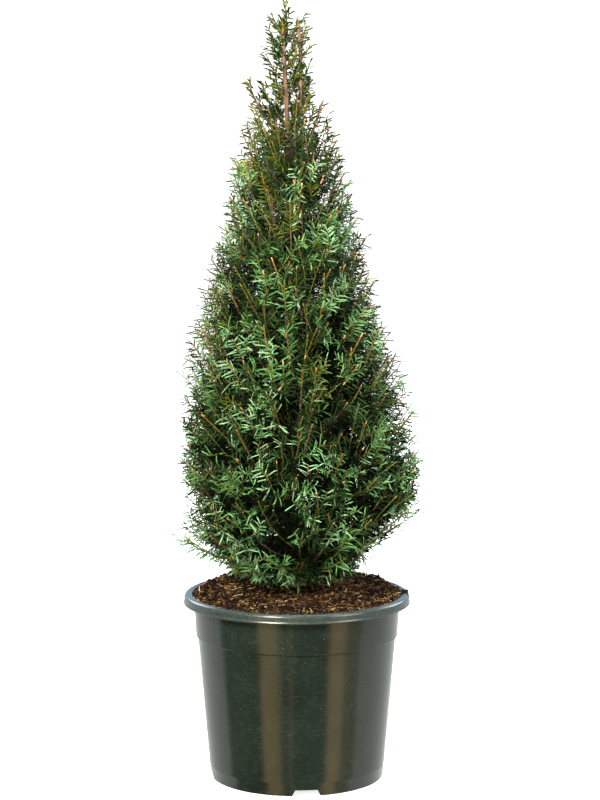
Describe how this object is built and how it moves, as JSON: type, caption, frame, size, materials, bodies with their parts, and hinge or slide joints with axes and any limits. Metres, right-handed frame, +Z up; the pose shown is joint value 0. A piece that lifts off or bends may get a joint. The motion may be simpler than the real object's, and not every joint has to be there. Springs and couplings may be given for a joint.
{
  "type": "potted yew tree",
  "caption": "Young clipped evergreen tree of conical form with a leaning trunk, ascending boughs and dense needle foliage, in a round tapered nursery pot filled with soil.",
  "frame": {"origin": "centre of the pot's flat underside, on the surface it stands on", "axes": "+Z up along the trunk, -Y towards the viewer of the picture, +X to the viewer's right"},
  "size_m": [0.3407, 0.3549, 1.089],
  "materials": {
    "pot": "moulded black-green polypropylene, satin to glossy, lightly scuffed and dusty",
    "soil": "moist peat and coir compost, coarse brown fibres",
    "bark": "thin pinkish-brown flaking bark, olive to orange on young shoots",
    "needles": "dark green glossy flat needles, paler and yellower on young shoots"
  },
  "bodies": {
    "root": {"pot": "pot", "soil": "soil", "trunk": "bark", "bough_skirt_1": "bark", "foliage_skirt_1": "needles", "bough_skirt_2": "bark", "foliage_skirt_2": "needles", "bough_skirt_3": "bark", "foliage_skirt_3": "needles", "bough_skirt_4": "bark", "foliage_skirt_4": "needles", "bough_skirt_5": "bark", "foliage_skirt_5": "needles", "bough_lower_1": "bark", "foliage_lower_1": "needles", "bough_lower_2": "bark", "foliage_lower_2": "needles", "bough_lower_3": "bark", "foliage_lower_3": "needles", "bough_lower_4": "bark", "foliage_lower_4": "needles", "bough_lower_5": "bark", "foliage_lower_5": "needles", "bough_waist_1": "bark", "foliage_waist_1": "needles", "bough_waist_2": "bark", "foliage_waist_2": "needles", "bough_waist_3": "bark", "foliage_waist_3": "needles", "bough_waist_4": "bark", "foliage_waist_4": "needles", "bough_middle_1": "bark", "foliage_middle_1": "needles", "bough_middle_2": "bark", "foliage_middle_2": "needles", "bough_middle_3": "bark", "foliage_middle_3": "needles", "bough_middle_4": "bark", "foliage_middle_4": "needles", "bough_upper_1": "bark", "foliage_upper_1": "needles", "bough_upper_2": "bark", "foliage_upper_2": "needles", "bough_upper_3": "bark", "foliage_upper_3": "needles", "bough_neck_1": "bark", "foliage_neck_1": "needles", "bough_neck_2": "bark", "foliage_neck_2": "needles", "bough_crest_1": "bark", "foliage_crest_1": "needles", "bough_crest_2": "bark", "foliage_crest_2": "needles", "foliage_leader": "needles"}
  },
  "joints": []
}
